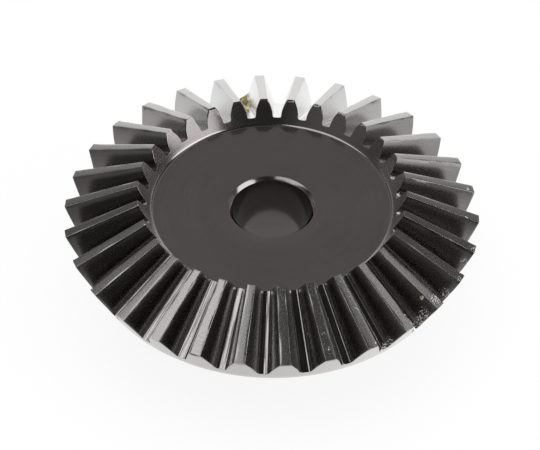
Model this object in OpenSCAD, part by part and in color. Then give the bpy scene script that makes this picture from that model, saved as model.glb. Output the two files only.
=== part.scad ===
// Straight bevel gear: one turned steel blank with teeth cut in straight lines from end to end.
// The axis is Z, the hub stands on z = 0 and the apex lies above the dished front. Millimetres.

/* [Teeth] */
// Module at the large end of the teeth
gear_module = 2; // [1.5:0.25:3]
// Number of teeth on this gear
teeth = 30; // [24:1:40]
// Number of teeth on the pinion that it runs with, on a shaft at right angles
mate_teeth = 15; // [12:1:20]
// Pressure angle of the flanks
pressure_angle = 20; // [14.5:0.5:25]
// Length of the teeth along the pitch cone
face_w = 12; // [8:0.5:14]
// Depth below the pitch cone, in modules
dedendum_k = 1.25; // [1.15:0.05:1.35]
// Thickness of the teeth on the pitch cone at the large end, in modules
heel_thickness_k = 1.54; // [1.4:0.01:1.57]
// Their thickness at the small end, in modules of that end
toe_thickness_k = 1.7; // [1.4:0.01:1.75]
// Number of teeth of the spur gear whose flank curve the small end has
toe_form_teeth = 30; // [24:1:70]
// Radius where a flank runs into the root land, at the large end
root_fillet_r = 0.4; // [0.2:0.05:0.5]

/* [Blank] */
// Width of the solid back cone below the tooth roots
rim_w = 2.35; // [1.5:0.05:4]
// Drop from the roots at the small end to the flat front face
dish_drop = 1.1; // [0.8:0.1:2.5]
// Radius in the turned corner round the front face
dish_corner_r = 0.5; // [0.3:0.1:0.8]
// Flat broken on the rim's lower edge
rim_break = 0.3; // [0.1:0.1:0.8]

/* [Hub and bore] */
// Mounting distance, from the apex of the pitch cone to the back of the hub
mount_dist = 30; // [28:0.5:40]
// Diameter of the hub
hub_d = 30; // [24:1:44]
// Chamfer on the hub's back edge
hub_chamfer = 1; // [0.5:0.25:2]
// Radius where the hub meets the back of the rim
hub_corner_r = 1; // [0.5:0.25:2]
// Diameter of the bore
bore_d = 12; // [8:0.5:18]
// Chamfer at both ends of the bore
bore_chamfer = 0.5; // [0.3:0.1:1]

/* [Hidden] */

$fn = 120;
// Steps along each involute and round each root fillet
flank_steps = 6;
fillet_steps = 3;
// How far a tooth gap is cut past the tips and past both ends of the teeth
overrun = 0.6;

// Pitch cone
pitch_r = gear_module * teeth / 2;
pitch_angle = atan(teeth / mate_teeth);
cone_dist = pitch_r / sin(pitch_angle);
apex = [0, 0, mount_dist];
pitch_z = mount_dist - pitch_r / tan(pitch_angle);
small_end_k = (cone_dist - face_w) / cone_dist;

// Points of the section, as [radius, height]
up_back_cone = [cos(pitch_angle), sin(pitch_angle)];
apex_2d = [0, mount_dist];
addendum = gear_module;
dedendum = dedendum_k * gear_module;
heel_pitch = [pitch_r, pitch_z];
heel_tip = heel_pitch + addendum * up_back_cone;
heel_root = heel_pitch - dedendum * up_back_cone;
rim_edge = heel_root - rim_w * up_back_cone;
toe_tip = apex_2d + small_end_k * (heel_tip - apex_2d);
toe_root = apex_2d + small_end_k * (heel_root - apex_2d);
front_z = toe_root[1] - dish_drop;
front_r = toe_root[0] - dish_drop / tan(pitch_angle);
back_z = rim_edge[1];
bore_r = bore_d / 2;
hub_r = hub_d / 2;

// Teeth, drawn as on the spur gear that the back cone unrolls to
spur_r = pitch_r / cos(pitch_angle);
spur_apex_z = pitch_z - spur_r * sin(pitch_angle);
root_r = spur_r - dedendum;
top_r = spur_r + addendum + overrun;
half_pitch = 180 / teeth * cos(pitch_angle);

// Flank forms, as [teeth of the spur gear with that curve, tooth thickness in modules]
heel_form = [teeth / cos(pitch_angle), heel_thickness_k];
toe_form = [toe_form_teeth, toe_thickness_k];

// The involute of an angle, in degrees
function involute(a) = tan(a) * 180 / PI - a;

// Base circle of a form's spur gear
function base_r(form) = gear_module * form[0] / 2 * cos(pressure_angle);

// Radius on a form's spur gear at a radius of the unrolled gear, straight down from the base circle
function form_radius(form, r) = max(base_r(form), gear_module * form[0] / 2 + r - spur_r);

// Pressure angle of a flank at a radius of the unrolled gear, none below the base circle
function flank_angle(form, r) = acos(base_r(form) / form_radius(form, r));

// Half the angle of a tooth on a form's spur gear at a radius of the unrolled gear
function form_angle(form, r) =
    form[1] / form[0] * 180 / PI + involute(pressure_angle) - involute(flank_angle(form, r));

// Half the angle of a gap at a radius of the unrolled gear
function gap_angle(form, r) = half_pitch - form_radius(form, r) * form_angle(form, r) / r;

// Angle between a flank and the middle of the gap at a radius of the unrolled gear
function flank_lean(form, r) = half_pitch + max(0, flank_angle(form, r) - form_angle(form, r));

// One flank of a gap, as [radius, angle], from the root fillet's end out past the tip
function flank(form, from_r) = [
    for (i = [0:flank_steps])
        let (r = from_r + (top_r - from_r) * i / flank_steps) [r, gap_angle(form, r)]
];

// The root fillet of the same side, from the root land up to the flank
function fillet(form, end_r) =
    let (
        lean = flank_lean(form, end_r),
        foot = end_r * sin(gap_angle(form, end_r)) - root_fillet_r * cos(lean)
    ) [
        for (i = [0:fillet_steps - 1])
            let (
                a = -90 + (90 - lean) * i / fillet_steps,
                across = foot + root_fillet_r * cos(a),
                out = root_r + root_fillet_r * (1 + sin(a))
            ) [norm([across, out]), atan2(across, out)]
    ];

// The same points on the other side of the gap, in the opposite order
function mirrored(side) = [for (i = [len(side) - 1:-1:0]) [side[i][0], -side[i][1]]];

// The whole outline of a gap, from the middle of its open top and round its root
function gap_outline(form) =
    let (
        fillet_end_r = root_r + root_fillet_r * (1 - sin(flank_lean(form, root_r))),
        side = concat(fillet(form, fillet_end_r), flank(form, fillet_end_r))
    ) concat([[top_r, 0]], mirrored(side), side);

// A point of the unrolled gear, wrapped on the back cone, then moved to a plane at a distance from the apex
function on_gap_end(p, distance) =
    let (
        turn = p[1] / cos(pitch_angle),
        wrapped = [
            p[0] * cos(pitch_angle) * cos(turn),
            p[0] * cos(pitch_angle) * sin(turn),
            spur_apex_z + p[0] * sin(pitch_angle)
        ],
        ray = wrapped - apex,
        along = ray * [sin(pitch_angle), 0, -cos(pitch_angle)]
    ) apex + ray * distance / along;

// The space between two teeth: straight lines from end to end, run on past both
module tooth_gap() {
    heel = [for (p = gap_outline(heel_form)) on_gap_end(p, cone_dist)];
    toe = [for (p = gap_outline(toe_form)) on_gap_end(p, cone_dist - face_w)];
    past = (heel - toe) * overrun / face_w;
    count = len(heel);
    polyhedron(
        points = concat(heel + past, toe - past),
        faces = concat(
            [[for (i = [0:count - 1]) (count - i) % count], [for (i = [0:count - 1]) count + i]],
            [for (i = [0:count - 1]) each gap_side(i, (i + 1) % count, count)]
        )
    );
}

// Two triangles of a gap's side between the points i and j, mirrored from one side of the gap to the other
function gap_side(i, j, count) =
    i < count / 2
        ? [[count + i, i, j], [count + i, j, count + j]]
        : [[i, j, count + j], [i, count + j, count + i]];

// Section of the blank beside the axis
module blank_section() {
    polygon([
        [bore_r, bore_chamfer],
        [bore_r + bore_chamfer, 0],
        [hub_r - hub_chamfer, 0],
        [hub_r, hub_chamfer],
        [hub_r, back_z],
        [rim_edge[0] - rim_break, back_z],
        rim_edge + rim_break * up_back_cone,
        heel_tip,
        toe_tip,
        [front_r, front_z],
        [bore_r + bore_chamfer, front_z],
        [bore_r, front_z - bore_chamfer]
    ]);
    dish_corner();
    hub_corner();
}

// Round corner between the front face and the cone of the small tooth ends
module dish_corner() {
    reach = dish_corner_r * tan(pitch_angle / 2);
    corner = [front_r, front_z];
    centre = corner + [-reach, dish_corner_r];
    difference() {
        polygon([corner, corner + reach * up_back_cone, centre, corner - [reach, 0]]);
        translate(centre) circle(dish_corner_r);
    }
}

// Round corner between the hub and the back of the rim
module hub_corner() {
    centre = [hub_r + hub_corner_r, back_z - hub_corner_r];
    difference() {
        translate([hub_r, back_z - hub_corner_r]) square(hub_corner_r);
        translate(centre) circle(hub_corner_r);
    }
}

module bevel_gear() {
    color([0.2, 0.19, 0.19])
        difference() {
            rotate_extrude() blank_section();
            for (i = [0:teeth - 1])
                rotate([0, 0, (i + 0.5) * 360 / teeth]) tooth_gap();
        }
}

bevel_gear();
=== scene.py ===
"""Looks of a blackened steel bevel gear: a fine mesh in place of its solid, its finishes and a studio."""
import logging
import math
from dataclasses import dataclass, field
from enum import Enum, IntEnum
from functools import partial
from typing import NamedTuple

import bpy
import numpy as np
from mathutils import Matrix, Vector, noise


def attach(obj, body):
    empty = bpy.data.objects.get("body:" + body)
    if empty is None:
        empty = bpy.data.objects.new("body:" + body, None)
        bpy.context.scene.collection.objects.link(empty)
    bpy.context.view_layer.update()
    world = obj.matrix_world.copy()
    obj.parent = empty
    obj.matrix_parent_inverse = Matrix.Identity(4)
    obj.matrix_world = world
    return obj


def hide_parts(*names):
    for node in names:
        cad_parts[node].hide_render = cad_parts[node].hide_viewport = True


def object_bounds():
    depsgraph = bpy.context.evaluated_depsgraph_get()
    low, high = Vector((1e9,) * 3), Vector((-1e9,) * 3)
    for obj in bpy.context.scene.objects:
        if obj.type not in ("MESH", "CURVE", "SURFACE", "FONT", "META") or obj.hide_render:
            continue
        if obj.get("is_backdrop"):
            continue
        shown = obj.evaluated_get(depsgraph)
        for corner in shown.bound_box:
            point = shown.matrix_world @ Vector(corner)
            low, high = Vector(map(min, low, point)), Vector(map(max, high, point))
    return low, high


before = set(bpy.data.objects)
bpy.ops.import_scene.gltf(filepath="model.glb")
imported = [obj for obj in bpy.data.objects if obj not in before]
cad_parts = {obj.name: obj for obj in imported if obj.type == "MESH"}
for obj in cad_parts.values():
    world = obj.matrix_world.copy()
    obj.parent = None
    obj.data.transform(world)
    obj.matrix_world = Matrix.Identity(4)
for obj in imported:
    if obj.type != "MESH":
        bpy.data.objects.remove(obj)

CAD_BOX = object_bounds()
LOG = logging.getLogger("bevel_gear")

MM = 0.001
Colour = tuple[float, float, float]
Point2 = tuple[float, float]
Point3 = tuple[float, float, float]
Socket = bpy.types.NodeSocket


class Zone(IntEnum):
    """Surfaces of the gear that were cut by different tools and take different finishes."""

    LAND = 0
    FLANK = 1
    ROOT = 2
    HEEL = 3
    TOE = 4
    FRONT = 5
    BORE = 6
    CHAMFER = 7
    BACK = 8
    CORNER = 9


class FlawKind(Enum):
    """Kinds of wear and dirt, each with the name of its mask in the shaders."""

    CHIP = "Chip"
    BRASS = "Brass"
    GRIME = "Grime"


class ProfilePoint(NamedTuple):
    """A point of a tooth's outline on the unrolled back cone, with how much of an edge it is."""

    radius: float
    angle: float
    edge: float


class SectionPoint(NamedTuple):
    """A point of the turned section beside the axis, with how much of an edge it is."""

    radius: float
    height: float
    edge: float


class Grain(NamedTuple):
    """A noise: how fine it is, and in how many octaves."""

    scale: float
    detail: float


@dataclass(frozen=True)
class GearSizes:
    """Sizes of the gear, in metres and radians, as its solid has them."""

    gear_module: float = 2 * MM
    teeth: int = 30
    mate_teeth: int = 15
    pressure_angle: float = math.radians(20)
    face_width: float = 12 * MM
    dedendum_share: float = 1.25
    heel_thickness: float = 1.54
    toe_thickness: float = 1.7
    toe_form_teeth: int = 30
    root_fillet: float = 0.4 * MM
    rim_width: float = 2.35 * MM
    dish_drop: float = 1.1 * MM
    dish_corner: float = 0.5 * MM
    rim_break: float = 0.3 * MM
    mount_distance: float = 30 * MM
    hub_radius: float = 15 * MM
    hub_chamfer: float = 1 * MM
    hub_corner: float = 1 * MM
    bore_radius: float = 6 * MM
    bore_chamfer: float = 0.5 * MM

    @property
    def pitch_radius(self) -> float:
        """Radius of the pitch circle at the heel."""
        return self.gear_module * self.teeth / 2

    @property
    def pitch_angle(self) -> float:
        """Half angle of the pitch cone."""
        return math.atan2(self.teeth, self.mate_teeth)

    @property
    def cone_distance(self) -> float:
        """Length of the pitch cone from its apex to the heel."""
        return self.pitch_radius / math.sin(self.pitch_angle)

    @property
    def pitch_height(self) -> float:
        """Height of the pitch circle above the hub's back face."""
        return self.mount_distance - self.pitch_radius / math.tan(self.pitch_angle)

    @property
    def toe_scale(self) -> float:
        """Size of the toe's outline as a share of the heel's."""
        return 1 - self.face_width / self.cone_distance

    @property
    def spur_radius(self) -> float:
        """Pitch radius of the spur gear that the back cone unrolls to."""
        return self.pitch_radius / math.cos(self.pitch_angle)

    @property
    def root_radius(self) -> float:
        """Root radius of the unrolled gear."""
        return self.spur_radius - self.dedendum_share * self.gear_module

    @property
    def tip_radius(self) -> float:
        """Tip radius of the unrolled gear."""
        return self.spur_radius + self.gear_module

    @property
    def half_pitch(self) -> float:
        """Half the angle from tooth to tooth on the unrolled gear."""
        return math.pi / self.teeth * math.cos(self.pitch_angle)

    def wrap(self, radius: float, angle: float, scale: float) -> Vector:
        """Places a point of the unrolled gear in space.

        Args:
            radius: distance from the middle of the unrolled gear.
            angle: angle on the unrolled gear, from the middle of a tooth.
            scale: 1 on the back cone, shrinking towards the apex of the pitch cone.

        Returns:
            The point, in metres, for a tooth that points along +X.
        """
        turn = angle / math.cos(self.pitch_angle)
        out = radius * math.cos(self.pitch_angle)
        low = self.pitch_height - self.spur_radius * math.sin(self.pitch_angle)
        heel = Vector((out * math.cos(turn), out * math.sin(turn), low + radius * math.sin(self.pitch_angle)))
        apex = Vector((0, 0, self.mount_distance))
        return apex + scale * (heel - apex)

    def section_point(self, radius: float, scale: float) -> Point2:
        """Radius and height of a point that lies in the middle plane of a tooth."""
        point = self.wrap(radius, 0.0, scale)
        return point.x, point.z


@dataclass(frozen=True)
class FlankForm:
    """Flank curve at one end of the teeth: that of a spur gear, drawn on the unrolled back cone."""

    sizes: GearSizes
    spur_teeth: float
    thickness: float

    @property
    def base(self) -> float:
        """Base radius of the spur gear."""
        return self.sizes.gear_module * self.spur_teeth / 2 * math.cos(self.sizes.pressure_angle)

    def spur_radius(self, radius: float) -> float:
        """Radius on the spur gear for a radius of the unrolled gear, straight down from the base circle."""
        return max(self.base, self.sizes.gear_module * self.spur_teeth / 2 + radius - self.sizes.spur_radius)

    def flank_angle(self, radius: float) -> float:
        """Pressure angle of the flank at a radius of the unrolled gear, none below the base circle."""
        return math.acos(self.base / self.spur_radius(radius))

    def tooth_angle(self, radius: float) -> float:
        """Half the angle of a tooth on the spur gear for a radius of the unrolled gear."""
        here, pitch = self.flank_angle(radius), self.sizes.pressure_angle
        return self.thickness / self.spur_teeth + math.tan(pitch) - pitch - math.tan(here) + here

    def half_tooth(self, radius: float) -> float:
        """Half the angle of a tooth at a radius of the unrolled gear."""
        return self.spur_radius(radius) * self.tooth_angle(radius) / radius

    def gap_angle(self, radius: float) -> float:
        """Half the angle of a tooth gap at a radius of the unrolled gear."""
        return self.sizes.half_pitch - self.half_tooth(radius)

    def lean(self, radius: float) -> float:
        """Angle between the flank and the middle of its gap at a radius of the unrolled gear."""
        return self.sizes.half_pitch + max(0.0, self.flank_angle(radius) - self.tooth_angle(radius))


def heel_form(sizes: GearSizes) -> FlankForm:
    """The flank curve at the large end, which is that of the unrolled back cone."""
    return FlankForm(sizes, sizes.teeth / math.cos(sizes.pitch_angle), sizes.heel_thickness)


def toe_form(sizes: GearSizes) -> FlankForm:
    """The flank curve at the small end, which is more convex."""
    return FlankForm(sizes, sizes.toe_form_teeth, sizes.toe_thickness)


class SectionPath:
    """A turned outline with round corners, as a row of points from one end to the other."""

    def __init__(self) -> None:
        """Starts an empty outline."""
        self.corners: list[Point2] = []
        self.rounds: list[tuple[float, int, float]] = []
        self.round_zones: dict[int, Zone] = {}
        self.stretches: list[tuple[Zone, int]] = []

    def corner(
        self, place: Point2, radius: float = 0.0, steps: int = 0, edge: float = 0.0, zone: Zone | None = None
    ) -> None:
        """Adds a corner.

        Args:
            place: radius and height of the sharp corner.
            radius: radius that rounds it.
            steps: number of steps round the corner.
            edge: how much of a worn edge it is.
            zone: the surface of the round itself, where it isn't that of the stretch before it.
        """
        if zone is not None:
            self.round_zones[len(self.corners)] = zone
        self.corners.append(place)
        self.rounds.append((radius, steps, edge))

    def stretch(self, zone: Zone, steps: int) -> None:
        """Says what surface leads to the next corner, and in how many steps."""
        self.stretches.append((zone, steps))

    def _arc(self, index: int) -> list[SectionPoint]:
        """Works out one corner.

        Args:
            index: the corner's number.

        Returns:
            Points round the corner, or the corner itself where it is sharp.
        """
        here = Vector(self.corners[index])
        radius, steps, edge = self.rounds[index]
        if steps == 0:
            return [SectionPoint(here.x, here.y, edge)]
        before = (Vector(self.corners[index - 1]) - here).normalized()
        after = (Vector(self.corners[index + 1]) - here).normalized()
        half = before.angle(after) / 2
        centre = here + (before + after).normalized() * radius / math.sin(half)
        start = here + before * radius / math.tan(half) - centre
        sweep = start.angle_signed(here + after * radius / math.tan(half) - centre)
        points = []
        for step in range(steps + 1):
            turned = start @ Matrix.Rotation(sweep * step / steps, 2)
            place = centre + turned
            points.append(SectionPoint(place.x, place.y, edge))
        return points

    def points(self) -> tuple[list[SectionPoint], list[Zone]]:
        """Works the outline out.

        Returns:
            The points, and the surface between each point and the next.
        """
        arcs = [self._arc(index) for index in range(len(self.corners))]
        path = list(arcs[0])
        zones: list[Zone] = []
        for index, (arc, (zone, steps)) in enumerate(zip(arcs[1:], self.stretches), start=1):
            start = path[-1]
            for step in range(1, steps):
                share = step / steps
                radius = start.radius + (arc[0].radius - start.radius) * share
                height = start.height + (arc[0].height - start.height) * share
                path.append(SectionPoint(radius, height, 0.0))
            path.extend(arc)
            zones.extend([zone] * steps)
            zones.extend([self.round_zones.get(index, zone)] * (len(arc) - 1))
        return path, zones


@dataclass
class SectorRows:
    """Rows of points that make a sector, each with the surfaces that lead to the next row."""

    places: list[list[Vector]] = field(default_factory=list)
    edges: list[list[float]] = field(default_factory=list)
    zones: list[list[Zone]] = field(default_factory=list)
    runs: list[float] = field(default_factory=list)

    def add(self, places: list[Vector], edges: list[float], zones: list[Zone], run: float) -> None:
        """Adds a row.

        Args:
            places: the row's points.
            edges: how much of a worn edge each point is.
            zones: the surface of each face that leads to the next row.
            run: how far along the tooth the row lies.
        """
        self.places.append(places)
        self.edges.append(edges)
        self.zones.append(zones)
        self.runs.append(run)


@dataclass
class ToothSector:
    """One tooth with half a gap on each side, and its slice of the rim, front, bore and hub.

    The rows run along the tooth from the heel, down the toe, round the turned section and back up the heel.
    """

    sizes: GearSizes
    edge_radius: float = 0.018 * MM
    root_sag: float = 0.05 * MM
    toe_lean: float = math.radians(2.5)
    fillet_steps: int = 4
    bright_fillet_steps: int = 1
    flank_steps: int = 9
    length_steps: int = 18
    ring_drop: float = 0.7 * MM
    face_shares: tuple[float, ...] = (0.15, 0.4, 0.7, 1.0)
    edge_side: float = 0.7
    turned_edge: float = 0.1
    broken_steps: int = 2
    dish_steps: int = 6
    hub_steps: int = 5

    def end_scale(self, radius: float, at_toe: bool) -> float:
        """Place along the tooth of one of its ends, of which the toe leans back a little.

        Args:
            radius: radius on the unrolled gear.
            at_toe: whether the end is the toe, not the heel.

        Returns:
            The scale to wrap that radius with.
        """
        size = self.sizes
        if not at_toe:
            return 1.0
        rise = (radius - size.root_radius) * size.toe_scale
        return size.toe_scale + rise * math.tan(self.toe_lean) / size.cone_distance

    def half_profile(self, form: FlankForm) -> tuple[list[ProfilePoint], list[Zone]]:
        """Outline from the middle of a gap to the middle of a tooth, angles counted from the gap.

        Args:
            form: the flank curve.

        Returns:
            The points, and the surface between each point and the next.
        """
        size = self.sizes
        root, tip, fillet = size.root_radius, size.tip_radius, size.root_fillet
        fillet_end = root + fillet * (1 - math.sin(form.lean(root)))
        lean = form.lean(fillet_end)
        foot = fillet_end * math.sin(form.gap_angle(fillet_end)) - fillet * math.cos(lean)
        half_way_sag = self.root_sag * (1 - 0.5 ** 2)
        flat = [(0.0, root - self.root_sag), (foot / 2, root - half_way_sag)]
        zones = [Zone.ROOT] * (len(flat) + self.bright_fillet_steps)
        for step in range(self.fillet_steps):
            angle = -math.pi / 2 + (math.pi / 2 - lean) * step / self.fillet_steps
            flat.append((foot + fillet * math.cos(angle), root + fillet * (1 + math.sin(angle))))
        points = [ProfilePoint(math.hypot(*place), math.atan2(*place), 0.0) for place in flat]

        edge = self.edge_radius
        flank_top = tip - edge
        for step in range(self.flank_steps):
            radius = fillet_end + (flank_top - 2 * edge - fillet_end) * step / (self.flank_steps - 1)
            points.append(ProfilePoint(radius, form.gap_angle(radius), 0.0))
        zones += [Zone.FLANK] * (self.fillet_steps - self.bright_fillet_steps + self.flank_steps)

        corner = form.gap_angle(tip)
        land_start = corner + edge / tip
        land_near = land_start + 2 * edge / tip
        eased = (corner * 2 + form.gap_angle(flank_top) + land_start) / 4
        points.append(ProfilePoint(flank_top, form.gap_angle(flank_top), self.edge_side))
        points.append(ProfilePoint(tip - edge / 4, eased, 1.0))
        points.append(ProfilePoint(tip, land_start, self.edge_side))
        points.append(ProfilePoint(tip, land_near, 0.0))
        points.append(ProfilePoint(tip, (land_near + size.half_pitch) / 2, 0.0))
        points.append(ProfilePoint(tip, size.half_pitch, 0.0))
        zones += [Zone.LAND] * (len(points) - 1 - len(zones))
        return points, zones

    def profile(self, form: FlankForm) -> tuple[list[ProfilePoint], list[Zone]]:
        """Outline from gap to gap, angles counted from the middle of the tooth.

        Args:
            form: the flank curve.

        Returns:
            The points, and the surface between each point and the next.
        """
        half, zones = self.half_profile(form)
        pitch = self.sizes.half_pitch
        rising = [ProfilePoint(p.radius, p.angle - pitch, p.edge) for p in half]
        falling = [ProfilePoint(p.radius, pitch - p.angle, p.edge) for p in reversed(half[:-1])]
        return rising + falling, zones + zones[::-1]

    def shrunk(self, points: list[ProfilePoint], depth: float) -> list[ProfilePoint]:
        """Moves an outline into the steel, for the broken edge at a tooth's end.

        Args:
            points: the outline.
            depth: how far it moves.

        Returns:
            The moved outline, with no edges marked.
        """
        flat = np.array([(p.radius * math.sin(p.angle), p.radius * math.cos(p.angle)) for p in points])
        runs = np.diff(flat, axis=0)
        inward = np.stack([runs[:, 1], -runs[:, 0]], axis=1)
        inward /= np.linalg.norm(inward, axis=1)[:, None]
        first = -flat[0] / np.linalg.norm(flat[0])
        last = -flat[-1] / np.linalg.norm(flat[-1])
        joined = np.vstack([first, inward[:-1] + inward[1:], last])
        joined /= np.linalg.norm(joined, axis=1)[:, None]
        moved = flat + joined * depth
        return [ProfilePoint(math.hypot(x, y), math.atan2(x, y), 0.0) for x, y in moved]

    def turned_path(self) -> SectionPath:
        """Draws the turned outline from below the toe, by the front, bore, hub and back, to below the heel.

        Returns:
            The outline.
        """
        size = self.sizes
        ring = size.root_radius - self.ring_drop
        toe_ring = Vector(size.section_point(ring, self.end_scale(ring, True)))
        heel_ring = size.section_point(ring, 1.0)
        toe_root = Vector(size.section_point(size.root_radius, size.toe_scale))
        rim_edge = Vector(size.section_point(size.root_radius - size.rim_width, 1.0))
        up_back = Vector((math.cos(size.pitch_angle), math.sin(size.pitch_angle)))
        front_height = toe_root.y - size.dish_drop
        toe_slope = (toe_root.x - toe_ring.x) / (toe_root.y - toe_ring.y)
        front_radius = toe_root.x - size.dish_drop * toe_slope
        bore, chamfer = size.bore_radius, size.bore_chamfer
        hub, hub_chamfer = size.hub_radius, size.hub_chamfer
        path = SectionPath()
        broken = partial(path.corner, radius=self.edge_radius, steps=self.broken_steps, edge=self.turned_edge)
        path.corner(tuple(toe_ring))
        path.stretch(Zone.TOE, 1)
        path.corner((front_radius, front_height), size.dish_corner, self.dish_steps, zone=Zone.CORNER)
        path.stretch(Zone.FRONT, 3)
        broken((bore + chamfer, front_height))
        path.stretch(Zone.CHAMFER, 1)
        broken((bore, front_height - chamfer))
        path.stretch(Zone.BORE, 2)
        broken((bore, chamfer))
        path.stretch(Zone.CHAMFER, 1)
        broken((bore + chamfer, 0.0))
        path.stretch(Zone.BACK, 2)
        broken((hub - hub_chamfer, 0.0))
        path.stretch(Zone.BACK, 1)
        broken((hub, hub_chamfer))
        path.stretch(Zone.BACK, 2)
        path.corner((hub, rim_edge.y), size.hub_corner, self.hub_steps)
        path.stretch(Zone.BACK, 2)
        broken((rim_edge.x - size.rim_break, rim_edge.y))
        path.stretch(Zone.HEEL, 1)
        broken(tuple(rim_edge + up_back * size.rim_break))
        path.stretch(Zone.HEEL, 1)
        path.corner(heel_ring)
        return path

    def end_rows(self, outline: list[ProfilePoint], at_toe: bool) -> list[list[Vector]]:
        """Rows from a tooth's broken end edge down its end face to the ring below the roots.

        Args:
            outline: the tooth's outline at that end.
            at_toe: whether the end is the toe, not the heel.

        Returns:
            The rows: the middle of the broken edge, the rim of the end face, then the face itself.
        """
        wrap = self.sizes.wrap
        ease = self.edge_radius / self.sizes.cone_distance / 4
        inward = ease if at_toe else -ease
        eased = self.shrunk(outline, self.edge_radius / 4)
        face = self.shrunk(outline, self.edge_radius)
        rows = [[wrap(p.radius, p.angle, self.end_scale(p.radius, at_toe) + inward) for p in eased]]
        rows.append([wrap(p.radius, p.angle, self.end_scale(p.radius, at_toe)) for p in face])
        ring = self.sizes.root_radius - self.ring_drop
        for share in self.face_shares:
            places = []
            for start, target in zip(face, outline):
                radius = start.radius + (ring - start.radius) * share
                angle = start.angle + (target.angle - start.angle) * share
                places.append(wrap(radius, angle, self.end_scale(radius, at_toe)))
            rows.append(places)
        return rows

    def tooth_rows(
        self, rows: SectorRows, heel: list[ProfilePoint], toe: list[ProfilePoint], zones: list[Zone]
    ) -> None:
        """Adds the rows along the tooth, from the heel's broken edge to the toe's.

        Args:
            rows: the rows to add to.
            heel: outline at the heel.
            toe: outline at the toe.
            zones: the surface between each point and the next.
        """
        size = self.sizes
        starts = [size.wrap(p.radius, p.angle, 1.0) for p in heel]
        ends = [size.wrap(p.radius, p.angle, self.end_scale(p.radius, True)) for p in toe]
        ease = self.edge_radius / size.face_width
        own_edges = [p.edge for p in heel]
        end_edges = [max(self.edge_side, edge) for edge in own_edges]
        toe_zones = [Zone.TOE] * len(zones)
        for step in range(self.length_steps + 1):
            share = 0.5 - (0.5 - ease) * math.cos(math.pi * step / self.length_steps)
            at_toe = step == self.length_steps
            edges = end_edges if at_toe or step == 0 else own_edges
            places = [start.lerp(end, share) for start, end in zip(starts, ends)]
            run = size.cone_distance - share * size.face_width
            rows.add(places, edges, toe_zones if at_toe else zones, run)

    def turned_rows(self, rows: SectorRows, columns: int) -> None:
        """Adds the rows round the turned section, from below the toe to below the heel.

        Args:
            rows: the rows to add to.
            columns: number of points in a row.
        """
        sector = math.tau / self.sizes.teeth
        turns = [sector * (column / (columns - 1) - 0.5) for column in range(columns)]
        path, zones = self.turned_path().points()
        for point, zone in zip(path[1:], zones[1:] + [Zone.HEEL]):
            places = [
                Vector((point.radius * math.cos(turn), point.radius * math.sin(turn), point.height))
                for turn in turns
            ]
            rows.add(places, [point.edge] * columns, [zone] * (columns - 1), self.sizes.cone_distance)

    def build(self) -> bpy.types.Object:
        """Makes the sector's mesh, with its surfaces, edges and lengthwise map as attributes.

        Returns:
            An object that holds the mesh.
        """
        size = self.sizes
        heel, zones = self.profile(heel_form(size))
        toe, _ = self.profile(toe_form(size))
        columns = len(heel)
        face_edges = [[0.0] * columns for _ in self.face_shares]
        edge_rows = [[1.0] * columns, [self.edge_side] * columns] + face_edges
        rows = SectorRows()
        self.tooth_rows(rows, heel, toe, zones)
        for places, edges in zip(self.end_rows(toe, True), edge_rows):
            rows.add(places, edges, [Zone.TOE] * (columns - 1), size.toe_scale * size.cone_distance)
        self.turned_rows(rows, columns)
        heel_rows = list(zip(self.end_rows(heel, False), edge_rows))
        for places, edges in reversed(heel_rows[:-1]):
            rows.add(places, edges, [Zone.HEEL] * (columns - 1), size.cone_distance)
        return self.mesh_object(rows, heel)

    def mesh_object(self, rows: SectorRows, outline: list[ProfilePoint]) -> bpy.types.Object:
        """Joins the rows into a mesh, the last row to the first.

        Args:
            rows: the rows.
            outline: the outline at the heel, which gives how far across it each column lies.

        Returns:
            An object that holds the mesh.
        """
        columns, count = len(outline), len(rows.places)
        flat = [Vector((p.radius * math.sin(p.angle), p.radius * math.cos(p.angle))) for p in outline]
        across = [0.0]
        for here, there in zip(flat, flat[1:]):
            across.append(across[-1] + (there - here).length)
        faces = []
        for row in range(count):
            after = (row + 1) % count
            for column in range(columns - 1):
                first, second = row * columns + column, after * columns + column
                faces.append((first, first + 1, second + 1, second))
        mesh = bpy.data.meshes.new("tooth_sector")
        mesh.from_pydata([tuple(p) for row in rows.places for p in row], [], faces)
        wear = mesh.attributes.new("edge", "FLOAT", "POINT")
        wear.data.foreach_set("value", [value for row in rows.edges for value in row])
        surface = mesh.attributes.new("zone", "INT", "FACE")
        surface.data.foreach_set("value", [int(zone) for row in rows.zones for zone in row])
        lengthwise = mesh.uv_layers.new(name="lengthwise")
        corners = np.zeros((len(mesh.loops), 2))
        for index, loop in enumerate(mesh.loops):
            row, column = divmod(loop.vertex_index, columns)
            corners[index] = across[column] / MM, rows.runs[row] / MM
        lengthwise.data.foreach_set("uv", corners.ravel())
        mesh.update()
        return bpy.data.objects.new("tooth_sector", mesh)


# Places of the colour sockets on a mix node, whose names are shared with its other data types
COLOUR_MIX_INPUTS = (0, 6, 7)
COLOUR_MIX_RESULT = 2


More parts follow.
